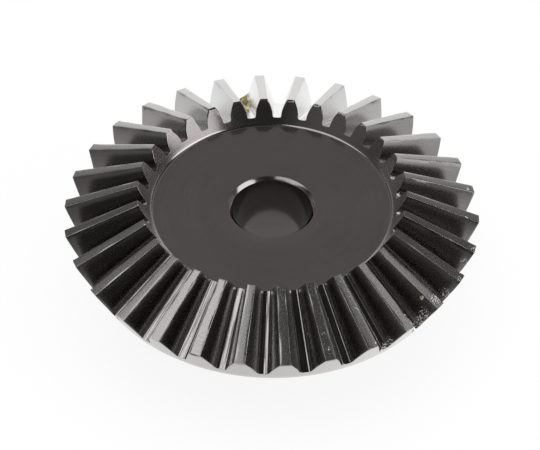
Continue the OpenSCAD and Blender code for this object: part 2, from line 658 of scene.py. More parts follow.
class NodeGraph:
    """A node tree with short calls to add and join nodes."""

    def __init__(self, tree: bpy.types.NodeTree) -> None:
        """Wraps a tree.

        Args:
            tree: the node tree to fill.
        """
        self.tree = tree

    def add(
        self, kind: str, inputs: dict[str | int, object] | None = None, **settings: object
    ) -> bpy.types.Node:
        """Adds a node.

        Args:
            kind: the node's type name.
            inputs: values or output sockets for its inputs, by name or place.
            settings: properties of the node itself.

        Returns:
            The node.
        """
        node = self.tree.nodes.new(kind)
        for name, value in settings.items():
            setattr(node, name, value)
        for key, value in (inputs or {}).items():
            self.feed(node.inputs[key], value)
        return node

    def feed(self, socket: Socket, value: object) -> None:
        """Sets an input to a value, or joins it to an output socket.

        Args:
            socket: the input.
            value: the value or the output socket.
        """
        if isinstance(value, bpy.types.NodeSocket):
            self.tree.links.new(value, socket)
        else:
            socket.default_value = value

    def math(self, operation: str, first: object, second: object = 0.0, clamp: bool = False) -> Socket:
        """Adds a sum of one or two values and returns its result."""
        node = self.add("ShaderNodeMath", {0: first, 1: second}, operation=operation, use_clamp=clamp)
        return node.outputs[0]

    def scaled(self, value: object, factor: object, offset: object) -> Socket:
        """Adds a value times a factor plus an offset and returns its result."""
        node = self.add("ShaderNodeMath", {0: value, 1: factor, 2: offset}, operation="MULTIPLY_ADD")
        return node.outputs[0]

    def smooth(self, value: object, limits: Point2, results: Point2 = (0.0, 1.0)) -> Socket:
        """Adds a soft step of a value.

        Args:
            value: the value.
            limits: where the step starts and ends, which may fall.
            results: what it gives at these limits and beyond them.

        Returns:
            The step's socket.
        """
        low, high = limits
        start, end = results
        inputs = {"Value": value, "From Min": low, "From Max": high, "To Min": start, "To Max": end}
        node = self.add("ShaderNodeMapRange", inputs, interpolation_type="SMOOTHSTEP")
        return node.outputs[0]

    def noise(self, place: Socket, grain: Grain) -> bpy.types.Node:
        """Adds a noise over a place and returns its node."""
        return self.add("ShaderNodeTexNoise", {"Vector": place, "Scale": grain.scale, "Detail": grain.detail})

    def noise_value(self, place: Socket, grain: Grain) -> Socket:
        """Adds a noise over a place and returns its value."""
        return self.noise(place, grain).outputs["Fac"]

    def vector_math(self, operation: str, inputs: dict[str | int, object]) -> bpy.types.Node:
        """Adds a sum of vectors and returns its node."""
        return self.add("ShaderNodeVectorMath", inputs, operation=operation)

    def mix_colour(self, share: object, first: object, second: object) -> Socket:
        """Adds a mix of two colours and returns its result."""
        node = self.add("ShaderNodeMix", data_type="RGBA")
        for place, value in zip(COLOUR_MIX_INPUTS, (share, first, second)):
            self.feed(node.inputs[place], value)
        return node.outputs[COLOUR_MIX_RESULT]

    def socket(self, name: str, kind: str, is_input: bool = True, default: object = None) -> None:
        """Adds a named socket to the tree's own interface.

        Args:
            name: the socket's name.
            kind: its type name.
            is_input: whether it is an input, not an output.
            default: the value that it starts with.
        """
        side = "INPUT" if is_input else "OUTPUT"
        made = self.tree.interface.new_socket(name=name, in_out=side, socket_type=kind)
        if default is not None:
            made.default_value = default


def rgba(colour: Colour, tone: float = 1.0) -> tuple[float, float, float, float]:
    """A colour made lighter or darker by a tone, with full alpha."""
    red, green, blue = colour
    return (red * tone, green * tone, blue * tone, 1.0)


@dataclass(frozen=True)
class Flaw:
    """A chip, clump or spot of grime on one tooth or, part of a tooth further on, in the gap after it.

    A chip takes steel away by its depth, and a clump, with a depth below zero, stands out. The place is
    a share of the tooth's length from the heel, a share of its height from the root, and a side from -1 to 1.
    """

    kind: FlawKind
    tooth: float
    along: float
    height: float
    side: float
    reach: float
    strength: float = 1.0
    depth: float = 0.0

    def centre(self, sizes: GearSizes) -> Vector:
        """Finds the middle of the flaw on the tooth's surface.

        Args:
            sizes: the gear's sizes.

        Returns:
            The point, in metres.
        """
        radius = sizes.root_radius + (sizes.tip_radius - sizes.root_radius) * self.height
        heel = sizes.wrap(radius, self.side * heel_form(sizes).half_tooth(radius), 1.0)
        toe = sizes.wrap(radius, self.side * toe_form(sizes).half_tooth(radius), sizes.toe_scale)
        return Matrix.Rotation(self.tooth * math.tau / sizes.teeth, 3, "Z") @ heel.lerp(toe, self.along)


chip = partial(Flaw, FlawKind.CHIP)
brass_spot = partial(Flaw, FlawKind.BRASS)
grime_spot = partial(Flaw, FlawKind.GRIME)
SCRATCH_STRENGTH = 0.8


def scratch(tooth: int, start: Point2, end: Point2, spots: int, reach: float) -> tuple[Flaw, ...]:
    """A scratch on the land of a tooth, as a row of small bright flaws.

    Args:
        tooth: the tooth's number.
        start: where it starts, as a share of the length and a side.
        end: where it ends.
        spots: number of flaws in the row.
        reach: radius of each.

    Returns:
        The flaws.
    """
    row = []
    for index in range(spots):
        share = index / (spots - 1)
        along = start[0] + (end[0] - start[0]) * share
        side = start[1] + (end[1] - start[1]) * share
        row.append(chip(tooth, along, height=1.0, side=side, reach=reach, strength=SCRATCH_STRENGTH))
    return tuple(row)


FLAWS: tuple[Flaw, ...] = (
    brass_spot(8.39, along=0.05, height=0.03, side=0.0, reach=1.9 * MM, depth=-1.7 * MM),
    brass_spot(8.38, along=0.25, height=0.05, side=0.0, reach=0.9 * MM, depth=-0.4 * MM),
    grime_spot(8.34, along=0.16, height=0.14, side=0.0, reach=0.4 * MM, strength=0.4),
    grime_spot(8.35, along=0.42, height=0.08, side=0.0, reach=0.3 * MM, strength=0.5),
    grime_spot(11, along=0.07, height=0.93, side=1.0, reach=0.3 * MM),
    grime_spot(11, along=0.47, height=1.0, side=-0.3, reach=0.2 * MM),
    grime_spot(11, along=0.91, height=1.0, side=0.1, reach=0.18 * MM),
    grime_spot(10, along=0.27, height=1.0, side=-0.2, reach=0.15 * MM),
    chip(16, along=0.99, height=0.99, side=0.85, reach=0.3 * MM, depth=0.05 * MM),
    chip(17, along=0.99, height=0.99, side=0.75, reach=0.35 * MM, depth=0.05 * MM),
    chip(1, along=0.97, height=0.04, side=-1.0, reach=0.35 * MM),
    chip(0, along=0.97, height=0.03, side=-1.05, reach=0.35 * MM),
    chip(29, along=0.97, height=0.04, side=-1.0, reach=0.4 * MM),
    chip(0, along=0.18, height=1.0, side=-0.77, reach=0.3 * MM, depth=0.05 * MM),
    chip(1, along=0.09, height=1.0, side=-0.4, reach=0.5 * MM, strength=0.6),
    chip(18, along=0.02, height=0.98, side=-0.95, reach=0.4 * MM, depth=0.06 * MM),
    brass_spot(18, along=0.03, height=0.98, side=-1.0, reach=0.25 * MM, strength=0.6),
    chip(25, along=0.05, height=0.98, side=1.0, reach=0.4 * MM, depth=0.08 * MM),
    chip(25, along=0.01, height=0.75, side=1.0, reach=0.45 * MM, depth=0.08 * MM),
    chip(25, along=0.0, height=0.45, side=0.98, reach=0.4 * MM, depth=0.06 * MM),
    chip(25.5, along=0.03, height=0.0, side=0.2, reach=0.9 * MM, strength=0.6),
    chip(26, along=0.04, height=0.25, side=-1.0, reach=1.2 * MM, strength=0.55, depth=0.05 * MM),
    chip(26, along=0.18, height=0.98, side=1.0, reach=0.3 * MM),
    chip(26, along=0.07, height=0.98, side=0.95, reach=0.35 * MM),
    chip(27, along=0.04, height=0.2, side=-1.0, reach=1.7 * MM, strength=0.55, depth=0.08 * MM),
    chip(27, along=0.07, height=0.55, side=-1.0, reach=1.4 * MM, strength=0.55, depth=0.08 * MM),
    chip(27, along=0.23, height=0.9, side=-1.0, reach=0.5 * MM, depth=0.1 * MM),
    brass_spot(27, along=0.23, height=0.85, side=-1.0, reach=0.3 * MM, strength=0.5),
    chip(27, along=0.1, height=1.0, side=0.2, reach=1.5 * MM, strength=0.55, depth=0.08 * MM),
    chip(27, along=0.12, height=0.98, side=0.95, reach=0.4 * MM),
    chip(27.5, along=0.03, height=0.0, side=0.0, reach=1.0 * MM, strength=0.5),
    chip(28, along=0.04, height=0.4, side=-1.0, reach=1.4 * MM, strength=0.5, depth=0.06 * MM),
    chip(28, along=0.06, height=0.98, side=0.9, reach=0.3 * MM),
    chip(28, along=0.03, height=0.98, side=-0.5, reach=0.9 * MM, strength=0.5, depth=0.05 * MM),
    chip(29, along=0.04, height=1.0, side=0.1, reach=0.9 * MM, strength=0.5, depth=0.05 * MM),
    chip(29, along=0.05, height=0.6, side=-1.0, reach=1.0 * MM, strength=0.5),
    chip(24, along=0.43, height=0.28, side=-1.0, reach=0.2 * MM),
    chip(24, along=0.35, height=1.0, side=-0.1, reach=0.5 * MM, strength=0.45),
    chip(24, along=0.14, height=1.0, side=0.1, reach=0.5 * MM, strength=0.5),
    *scratch(25, (0.9, 0.1), (0.59, 0.25), 14, 0.09 * MM),
    *scratch(25, (0.56, 0.0), (0.5, 0.8), 7, 0.09 * MM),
)


RING_GRAIN = Grain(1.0, 3.0)
RING_WANDER = 0.9
STREAK_GRAIN = Grain(1.0, 4.0)
STREAK_SHUFFLE = 37.0
WEAR_GRAIN = Grain(900.0, 5.0)
WEAR_SPREAD = 1.4
WEAR_LIMITS = (0.95, 1.35)
CLOUD_GRAIN = Grain(140.0, 4.0)
FINE_GRAIN = Grain(5200.0, 2.0)
FLECK_GRAIN = Grain(4800.0, 2.0)
FLECK_SPREAD = 2.6
FLECK_LIMITS = (1.8, 2.0)
FLECK_START = (0.0, 0.2)
RUST_GRAIN = Grain(3300.0, 3.0)
RUST_SPREAD = 1.4
RUST_LIMITS = (0.95, 1.3)
RAGGED_GRAIN = Grain(2600.0, 3.0)
RAGGED_PULL = 0.25 * MM
FLAW_CORE = 0.2


class ShaderGroups:
    """Node groups that more than one finish uses, each built once."""

    def __init__(self, sizes: GearSizes) -> None:
        """Builds the groups.

        Args:
            sizes: the gear's sizes, for the spacing of the teeth.
        """
        self.sizes = sizes
        self.tooth_tone = self._tooth_tone()
        self.turning = self._turning()
        self.planing = self._planing()
        self.worn_edge = self._worn_edge()
        self.mottle = self._mottle()
        self.chipping = self._chipping()
        self.flaws = self._flaws()

    def _start(
        self, name: str, place: str, numbers: dict[str, float], results: tuple[str, ...]
    ) -> tuple[NodeGraph, bpy.types.NodeOutputs, bpy.types.NodeInputs]:
        """Starts a shader group.

        Args:
            name: the group's name.
            place: name of its input for a place.
            numbers: its other inputs, each with a value to start with.
            results: its outputs, all of them numbers.

        Returns:
            The group's graph, what is given to it, and what it has to give.
        """
        graph = NodeGraph(bpy.data.node_groups.new(name, "ShaderNodeTree"))
        graph.socket(place, "NodeSocketVector")
        for label, default in numbers.items():
            graph.socket(label, "NodeSocketFloat", default=default)
        for label in results:
            graph.socket(label, "NodeSocketFloat", is_input=False)
        entry = graph.tree.nodes.new("NodeGroupInput")
        leave = graph.tree.nodes.new("NodeGroupOutput")
        return graph, entry.outputs, leave.inputs

    def _tooth_tone(self) -> bpy.types.NodeTree:
        """Makes a random tone for each tooth, from the place round the axis.

        Returns:
            The group.
        """
        graph, given, result = self._start("tooth_tone", "Place", {}, ("Tone",))
        split = graph.add("ShaderNodeSeparateXYZ", {0: given["Place"]})
        turn = graph.math("ARCTAN2", split.outputs["Y"], split.outputs["X"])
        number = graph.math("ROUND", graph.math("MULTIPLY", turn, self.sizes.teeth / math.tau))
        wrapped = graph.math("FLOORED_MODULO", number, float(self.sizes.teeth))
        noise = graph.add("ShaderNodeTexWhiteNoise", {"W": wrapped}, noise_dimensions="1D")
        graph.feed(result["Tone"], noise.outputs["Value"])
        return graph.tree

    def _turning(self) -> bpy.types.NodeTree:
        """Makes fine rings, as left by a lathe tool that fed outwards or along the axis.

        Returns:
            The group.
        """
        numbers = {"Outward": 1.0, "Along axis": 0.0, "Pitch": 0.2 * MM}
        graph, given, result = self._start("turning_marks", "Place", numbers, ("Marks",))
        split = graph.add("ShaderNodeSeparateXYZ", {0: given["Place"]})
        x_squared = graph.math("POWER", split.outputs["X"], 2.0)
        y_squared = graph.math("POWER", split.outputs["Y"], 2.0)
        radius = graph.math("SQRT", graph.math("ADD", x_squared, y_squared))
        outward = graph.math("MULTIPLY", radius, given["Outward"])
        upward = graph.math("MULTIPLY", split.outputs["Z"], given["Along axis"])
        feed = graph.math("DIVIDE", graph.math("ADD", outward, upward), given["Pitch"])
        turn = graph.math("ARCTAN2", split.outputs["Y"], split.outputs["X"])
        wander = graph.math("MULTIPLY", turn, RING_WANDER)
        course = graph.add("ShaderNodeCombineXYZ", {"X": feed, "Y": wander})
        graph.feed(result["Marks"], graph.noise_value(course.outputs[0], RING_GRAIN))
        return graph.tree

    def _planing(self) -> bpy.types.NodeTree:
        """Makes streaks, as a planing tool leaves them along the teeth.

        Returns:
            The group.
        """
        numbers = {"Tone": 0.0, "Pitch": 0.2, "Stretch": 40.0}
        graph, given, result = self._start("planing_streaks", "Lengthwise", numbers, ("Streaks",))
        split = graph.add("ShaderNodeSeparateXYZ", {0: given["Lengthwise"]})
        across = graph.math("DIVIDE", split.outputs["X"], given["Pitch"])
        reach = graph.math("MULTIPLY", given["Pitch"], given["Stretch"])
        along = graph.math("DIVIDE", split.outputs["Y"], reach)
        shuffled = graph.math("MULTIPLY", given["Tone"], STREAK_SHUFFLE)
        course = graph.add("ShaderNodeCombineXYZ", {"X": across, "Y": along, "Z": shuffled})
        graph.feed(result["Streaks"], graph.noise_value(course.outputs[0], STREAK_GRAIN))
        return graph.tree

    def _worn_edge(self) -> bpy.types.NodeTree:
        """Finds where an edge has lost its oxide, in flecks.

        Returns:
            The group.
        """
        graph, given, result = self._start("worn_edge", "Place", {"Edge": 0.0, "Amount": 0.5}, ("Worn",))
        rough = graph.noise_value(given["Place"], WEAR_GRAIN)
        kept = graph.math("MULTIPLY", given["Edge"], given["Amount"])
        reach = graph.scaled(rough, WEAR_SPREAD, kept)
        graph.feed(result["Worn"], graph.smooth(reach, WEAR_LIMITS))
        return graph.tree

    def _mottle(self) -> bpy.types.NodeTree:
        """Makes cloudy and fine changes of tone in the oxide.

        Returns:
            The group.
        """
        graph, given, result = self._start("oxide_mottle", "Place", {}, ("Clouds", "Grain"))
        graph.feed(result["Clouds"], graph.noise_value(given["Place"], CLOUD_GRAIN))
        graph.feed(result["Grain"], graph.noise_value(given["Place"], FINE_GRAIN))
        return graph.tree

    def _chipping(self) -> bpy.types.NodeTree:
        """Makes bright flecks of torn steel and brown specks where a tooth is chipped.

        Returns:
            The group.
        """
        graph, given, result = self._start("chipping", "Place", {"Chip": 0.0}, ("Bright", "Rust"))
        flecks = graph.noise_value(given["Place"], FLECK_GRAIN)
        specks = graph.noise_value(given["Place"], RUST_GRAIN)
        bright = graph.scaled(flecks, FLECK_SPREAD, given["Chip"])
        rust = graph.scaled(specks, RUST_SPREAD, given["Chip"])
        chipped = graph.smooth(given["Chip"], FLECK_START)
        shining = graph.math("MULTIPLY", graph.smooth(bright, FLECK_LIMITS), chipped)
        graph.feed(result["Bright"], shining)
        graph.feed(result["Rust"], graph.smooth(rust, RUST_LIMITS))
        return graph.tree

    def _flaws(self) -> bpy.types.NodeTree:
        """Makes masks of the wear and dirt at each place, one for each kind, with ragged outlines.

        Returns:
            The group.
        """
        graph, given, result = self._start("flaws", "Place", {}, tuple(kind.value for kind in FlawKind))
        ragged = graph.noise(given["Place"], RAGGED_GRAIN).outputs["Color"]
        pull = {0: ragged, 1: (2 * RAGGED_PULL,) * 3, 2: (-RAGGED_PULL,) * 3}
        pulled = graph.vector_math("MULTIPLY_ADD", pull).outputs["Vector"]
        place = graph.vector_math("ADD", {0: given["Place"], 1: pulled}).outputs["Vector"]
        for kind in FlawKind:
            mask: object = 0.0
            for flaw in FLAWS:
                if flaw.kind is kind:
                    ends = {0: place, 1: flaw.centre(self.sizes)}
                    away = graph.vector_math("DISTANCE", ends).outputs["Value"]
                    near = graph.smooth(away, (flaw.reach, FLAW_CORE * flaw.reach), (0.0, flaw.strength))
                    mask = graph.math("MAXIMUM", mask, near)
            graph.feed(result[kind.value], mask)
        return graph.tree


OXIDE: Colour = (0.152, 0.121, 0.117)
BARE_STEEL: Colour = (0.6, 0.58, 0.568)
RUST: Colour = (0.13, 0.085, 0.04)
BRASS: Colour = (0.95, 0.74, 0.06)
TARNISH: Colour = (0.1, 0.06, 0.02)
GRIME: Colour = (0.03, 0.05, 0.02)
WHITE: Colour = (1.0, 1.0, 1.0)
COAT_INDEX = 2.2
GRAZING_REACH = (0.35, 1.0)
CLOUD_TONES = (0.75, 1.25)
MARK_LIMITS = (0.4, 0.6)
SPECKLE_LIMITS = (0.3, 0.7)
ROUGH_LIMITS = (0.25, 0.75)
METAL_LIMITS = (0.0, 0.4)
TARNISH_LIMITS = (0.25, 0.42)
GRAIN_HEIGHT = 0.12
MATT_METAL = 0.2
MATT_ROUGHNESS = 0.5


@dataclass(frozen=True)
class SteelFinish:
    """A finish of blackened steel: oiled oxide over tool marks, thinner where the surface is rubbed.

    The share of bare steel is what is rubbed off, more and less along the tool marks and in fine speckles.
    """

    name: str
    rubbed: float
    streak: float
    speckle: float
    roughness: Point2
    edge_wear: float
    mark_depth: float
    tone: float = 1.0
    oxide_metal: float = 0.85
    bare_metal: float = 1.0
    grazing_gloss: float = 0.0
    coat: float = 1.0
    coat_roughness: float = 0.2

    def marks(self, graph: NodeGraph, groups: ShaderGroups, place: Socket, tone: Socket) -> Socket:
        """Adds the tool marks of this finish and returns their height."""
        raise NotImplementedError

    def bare_share(self, graph: NodeGraph, marks: Socket, grain: Socket) -> Socket:
        """Adds the share of steel that shows through the oxide.

        Args:
            graph: the material's graph.
            marks: height of the tool marks.
            grain: fine noise.

        Returns:
            The share.
        """
        lined = graph.smooth(marks, MARK_LIMITS, (-self.streak / 2, self.streak / 2))
        speckled = graph.smooth(grain, SPECKLE_LIMITS, (-self.speckle / 2, self.speckle / 2))
        return graph.math("ADD", graph.math("ADD", lined, speckled), self.rubbed, clamp=True)

    def build(self, groups: ShaderGroups) -> bpy.types.Material:
        """Makes the material.

        Args:
            groups: the shared shader groups.

        Returns:
            The material.
        """
        material = bpy.data.materials.new(self.name)
        material.use_nodes = True
        material.node_tree.nodes.clear()
        graph = NodeGraph(material.node_tree)
        place = graph.add("ShaderNodeTexCoord").outputs["Object"]
        edge = graph.add("ShaderNodeAttribute", attribute_name="edge").outputs["Fac"]
        tone = graph.add("ShaderNodeGroup", {"Place": place}, node_tree=groups.tooth_tone).outputs["Tone"]
        marks = self.marks(graph, groups, place, tone)
        mottle = graph.add("ShaderNodeGroup", {"Place": place}, node_tree=groups.mottle)
        clouds, grain = mottle.outputs["Clouds"], mottle.outputs["Grain"]
        wear_inputs = {"Place": place, "Edge": edge, "Amount": self.edge_wear}
        wear = graph.add("ShaderNodeGroup", wear_inputs, node_tree=groups.worn_edge)
        flaws = graph.add("ShaderNodeGroup", {"Place": place}, node_tree=groups.flaws).outputs
        chip_inputs = {"Place": place, "Chip": flaws[FlawKind.CHIP.value]}
        chips = graph.add("ShaderNodeGroup", chip_inputs, node_tree=groups.chipping)

        bright = chips.outputs["Bright"]
        brass, grime = flaws[FlawKind.BRASS.value], flaws[FlawKind.GRIME.value]
        matt = graph.math("MAXIMUM", bright, graph.math("MAXIMUM", brass, grime))
        share = self.bare_share(graph, marks, grain)
        share = graph.math("MAXIMUM", share, graph.math("MAXIMUM", wear.outputs["Worn"], bright))
        metal = graph.smooth(share, METAL_LIMITS, (self.oxide_metal, self.bare_metal))
        roughness = graph.smooth(grain, ROUGH_LIMITS, self.roughness)
        dark, light = (rgba(OXIDE, level * self.tone) for level in CLOUD_TONES)
        oxide = graph.mix_colour(clouds, dark, light)
        dulled = graph.mix_colour(chips.outputs["Rust"], oxide, rgba(RUST))
        colour = graph.mix_colour(share, dulled, rgba(BARE_STEEL))
        if self.grazing_gloss:
            facing = graph.add("ShaderNodeLayerWeight").outputs["Facing"]
            flat_view = graph.smooth(facing, GRAZING_REACH, (0.0, self.grazing_gloss))
            colour = graph.mix_colour(flat_view, colour, rgba(WHITE))
        clean = graph.smooth(grain, TARNISH_LIMITS)
        tarnished = graph.mix_colour(clean, rgba(TARNISH), rgba(BRASS))
        colour = graph.mix_colour(brass, colour, tarnished)
        colour = graph.mix_colour(grime, colour, rgba(GRIME))
        height = graph.scaled(grain, GRAIN_HEIGHT, marks)
        bump = graph.add("ShaderNodeBump", {"Height": height, "Distance": self.mark_depth, "Strength": 1.0})
        shader = graph.add(
            "ShaderNodeBsdfPrincipled",
            {
                "Base Color": colour,
                "Metallic": graph.math("MULTIPLY", metal, graph.scaled(matt, MATT_METAL - 1, 1.0)),
                "Roughness": graph.math("MAXIMUM", roughness, graph.math("MULTIPLY", matt, MATT_ROUGHNESS)),
                "Coat Weight": graph.scaled(matt, -self.coat, self.coat),
                "Coat Roughness": self.coat_roughness,
                "Coat IOR": COAT_INDEX,
                "Normal": bump.outputs["Normal"],
            },
        )
        output = graph.add("ShaderNodeOutputMaterial")
        graph.feed(output.inputs["Surface"], shader.outputs["BSDF"])
        return material


@dataclass(frozen=True)
class TurnedFinish(SteelFinish):
    """A surface cut on the lathe, with fine rings round the axis."""

    outward: float = 1.0
    along_axis: float = 0.0
    pitch: float = 0.2 * MM

    def marks(self, graph: NodeGraph, groups: ShaderGroups, place: Socket, tone: Socket) -> Socket:
        """Adds turning rings and returns their height."""
        inputs = {"Place": place, "Outward": self.outward, "Along axis": self.along_axis, "Pitch": self.pitch}
        return graph.add("ShaderNodeGroup", inputs, node_tree=groups.turning).outputs["Marks"]


@dataclass(frozen=True)
class PlanedFinish(SteelFinish):
    """A surface cut along the teeth, with long streaks."""

    streak_pitch: float = 0.2
    stretch: float = 40.0

    def marks(self, graph: NodeGraph, groups: ShaderGroups, place: Socket, tone: Socket) -> Socket:
        """Adds planing streaks.

        Args:
            graph: the material's graph.
            groups: the shared shader groups.
            place: place on the gear, which these marks don't need.
            tone: a number that differs from tooth to tooth.

        Returns:
            The height of the streaks.
        """
        course = graph.add("ShaderNodeUVMap", uv_map="lengthwise").outputs["UV"]
        inputs = {"Lengthwise": course, "Tone": tone, "Pitch": self.streak_pitch, "Stretch": self.stretch}
        return graph.add("ShaderNodeGroup", inputs, node_tree=groups.planing).outputs["Streaks"]


FINISHES: dict[Zone, SteelFinish] = {
    Zone.LAND: TurnedFinish(
        "rubbed_land", rubbed=0.76, streak=0.06, speckle=0.24, roughness=(0.2, 0.28), edge_wear=0.3,
        mark_depth=0.003 * MM, bare_metal=0.96, grazing_gloss=0.25, coat_roughness=0.18, pitch=0.12 * MM,
    ),
    # The flanks' tone of 0.6 darkens their oxide as painted shade in the gaps between the teeth.
    Zone.FLANK: PlanedFinish(
        "planed_flank", rubbed=0.06, streak=0.03, speckle=0.03, roughness=(0.25, 0.31), edge_wear=0.4,
        mark_depth=0.002 * MM, tone=0.6, oxide_metal=0.97, grazing_gloss=0.95, coat=0.9, coat_roughness=0.22,
        streak_pitch=0.35,
    ),
    Zone.ROOT: PlanedFinish(
        "planed_root", rubbed=0.42, streak=1.6, speckle=0.3, roughness=(0.06, 0.1), edge_wear=0.2,
        mark_depth=0.003 * MM, oxide_metal=0.97, grazing_gloss=0.8, coat=0.8, coat_roughness=0.06,
        streak_pitch=0.16,
    ),
    Zone.HEEL: TurnedFinish(
        "turned_rim", rubbed=0.36, streak=0.1, speckle=0.1, roughness=(0.24, 0.32), edge_wear=0.3,
        mark_depth=0.003 * MM, coat_roughness=0.2, pitch=0.15 * MM,
    ),
    Zone.TOE: TurnedFinish(
        "turned_toe", rubbed=0.11, streak=0.06, speckle=0.08, roughness=(0.22, 0.3), edge_wear=0.3,
        mark_depth=0.002 * MM, oxide_metal=0.92, coat_roughness=0.16, pitch=0.15 * MM,
    ),
    Zone.CORNER: TurnedFinish(
        "dish_corner", rubbed=0.6, streak=0.1, speckle=0.05, roughness=(0.12, 0.18), edge_wear=0.2,
        mark_depth=0.001 * MM, coat_roughness=0.1,
    ),
    Zone.FRONT: TurnedFinish(
        "turned_front", rubbed=0.03, streak=0.04, speckle=0.02, roughness=(0.23, 0.26), edge_wear=0.2,
        mark_depth=0.0003 * MM, tone=0.93, oxide_metal=0.88, coat_roughness=0.1, pitch=0.25 * MM,
    ),
    Zone.CHAMFER: TurnedFinish(
        "bore_chamfer", rubbed=0.37, streak=0.1, speckle=0.1, roughness=(0.16, 0.22), edge_wear=0.3,
        mark_depth=0.002 * MM, coat_roughness=0.12,
    ),
    # The bore wall's tone of 0.7 darkens its oxide as painted shade inside the recess.
    Zone.BORE: TurnedFinish(
        "bored_wall", rubbed=0.02, streak=0.05, speckle=0.02, roughness=(0.18, 0.24), edge_wear=0.2,
        mark_depth=0.0004 * MM, tone=0.7, oxide_metal=0.92, coat_roughness=0.12, outward=0.3, along_axis=1.0,
    ),
    Zone.BACK: TurnedFinish(
        "turned_back", rubbed=0.05, streak=0.08, speckle=0.05, roughness=(0.26, 0.36), edge_wear=0.5,
        mark_depth=0.004 * MM, coat_roughness=0.18, along_axis=0.7,
    ),
}


@dataclass
class ToothRing:
    """The whole gear: one sector repeated round the axis, its edges worn and its surfaces dressed."""

    sizes: GearSizes
    wear_depth: float = 0.04 * MM
    wear_scale: float = 700.0
    wear_detail: float = 2.0
    wear_limits: Point2 = (0.42, 0.75)
    seed: int = 7
    weld_distance: float = 0.001 * MM
    chip_grain: float = 0.35 * MM
    chip_slope: float = 1.4

    def inputs(self) -> dict[str, int | float]:
        """Named inputs of the node tree, with their values.

        Returns:
            The values by name.
        """
        return {
            "Teeth": self.sizes.teeth,
            "Wear depth": self.wear_depth,
            "Wear scale": self.wear_scale,
            "Seed": self.seed,
        }

    def tree(self, materials: dict[Zone, bpy.types.Material]) -> bpy.types.NodeTree:
        """Builds the node tree that repeats, joins, wears and dresses the sector.

        Args:
            materials: the material of each surface.

        Returns:
            The node tree.
        """
        graph = NodeGraph(bpy.data.node_groups.new("tooth_ring", "GeometryNodeTree"))
        graph.socket("Geometry", "NodeSocketGeometry")
        for name, value in self.inputs().items():
            kind = "NodeSocketInt" if isinstance(value, int) else "NodeSocketFloat"
            graph.socket(name, kind, default=value)
        graph.socket("Geometry", "NodeSocketGeometry", is_input=False)
        entry = graph.tree.nodes.new("NodeGroupInput")
        leave = graph.tree.nodes.new("NodeGroupOutput")

        points = graph.add("GeometryNodePoints", {"Count": entry.outputs["Teeth"]})
        index = graph.add("GeometryNodeInputIndex").outputs[0]
        step = graph.math("DIVIDE", math.tau, entry.outputs["Teeth"])
        turn = graph.add("ShaderNodeCombineXYZ", {"Z": graph.math("MULTIPLY", index, step)})
        placed = graph.add(
            "GeometryNodeInstanceOnPoints",
            {"Points": points.outputs[0], "Instance": entry.outputs["Geometry"], "Rotation": turn.outputs[0]},
        )
        whole = graph.add("GeometryNodeRealizeInstances", {"Geometry": placed.outputs[0]})
        welded = graph.add(
            "GeometryNodeMergeByDistance", {"Geometry": whole.outputs[0], "Distance": self.weld_distance}
        )

        place = graph.add("GeometryNodeInputPosition").outputs[0]
        edge = graph.add("GeometryNodeInputNamedAttribute", {"Name": "edge"}, data_type="FLOAT").outputs[0]
        rough = graph.add(
            "ShaderNodeTexNoise",
            {
                "Vector": place,
                "W": entry.outputs["Seed"],
                "Scale": entry.outputs["Wear scale"],
                "Detail": self.wear_detail,
            },
            noise_dimensions="4D",
        )
        bite = graph.math("MULTIPLY", graph.smooth(rough.outputs[0], self.wear_limits), edge)
        depth = graph.math("MULTIPLY", bite, entry.outputs["Wear depth"])
        outward = graph.add("GeometryNodeInputNormal").outputs[0]
        loss = graph.math("MULTIPLY", depth, -1.0)
        inward = graph.vector_math("SCALE", {0: outward, "Scale": loss}).outputs[0]
        worn = graph.add("GeometryNodeSetPosition", {"Geometry": welded.outputs[0], "Offset": inward})
        shape = graph.add("GeometryNodeSetShadeSmooth", {"Geometry": worn.outputs[0]}).outputs[0]
        zone = graph.add("GeometryNodeInputNamedAttribute", {"Name": "zone"}, data_type="INT").outputs[0]
        for key, material in materials.items():
            same = {2: zone, 3: int(key)}
            chosen = graph.add("FunctionNodeCompare", same, data_type="INT", operation="EQUAL").outputs[0]
            dressing = {"Geometry": shape, "Selection": chosen, "Material": material}
            shape = graph.add("GeometryNodeSetMaterial", dressing).outputs[0]
        graph.feed(leave.inputs["Geometry"], shape)
        return graph.tree

    def chipped(self, mesh: bpy.types.Mesh) -> None:
        """Takes steel away where the gear is chipped, and raises it where dirt is stuck to it.

        Args:
            mesh: the gear's mesh.
        """
        places = np.zeros(len(mesh.vertices) * 3)
        mesh.vertices.foreach_get("co", places)
        places = places.reshape(-1, 3)
        normals = np.array([vertex.normal for vertex in mesh.vertices])
        for flaw in FLAWS:
            away = np.linalg.norm(places - np.array(flaw.centre(self.sizes)), axis=1)
            near = np.clip(self.chip_slope * (1 - away / flaw.reach), 0.0, 1.0)
            for index in np.flatnonzero(near * flaw.depth):
                rough = 0.5 + 0.5 * noise.noise(Vector(places[index]) / self.chip_grain)
                places[index] -= normals[index] * flaw.depth * near[index] * rough
        mesh.vertices.foreach_set("co", places.ravel())
        mesh.update()

    def build(self, materials: dict[Zone, bpy.types.Material]) -> bpy.types.Object:
        """Makes the gear as one plain mesh.

        Args:
            materials: the material of each surface.

        Returns:
            The gear's object, in the scene.
        """
        source = ToothSector(self.sizes).build()
        bpy.context.collection.objects.link(source)
        ring = source.modifiers.new("tooth_ring", "NODES")
        ring.node_group = self.tree(materials)
        values = self.inputs()
        for item in ring.node_group.interface.items_tree:
            if item.in_out == "INPUT" and item.name in values:
                ring[item.identifier] = values[item.name]
        whole = self.baked(source, "bevel_gear_ring")
        self.chipped(whole.data)
        whole.modifiers.new("flat_faces", "WEIGHTED_NORMAL")
        return self.baked(whole, "bevel_gear_body")

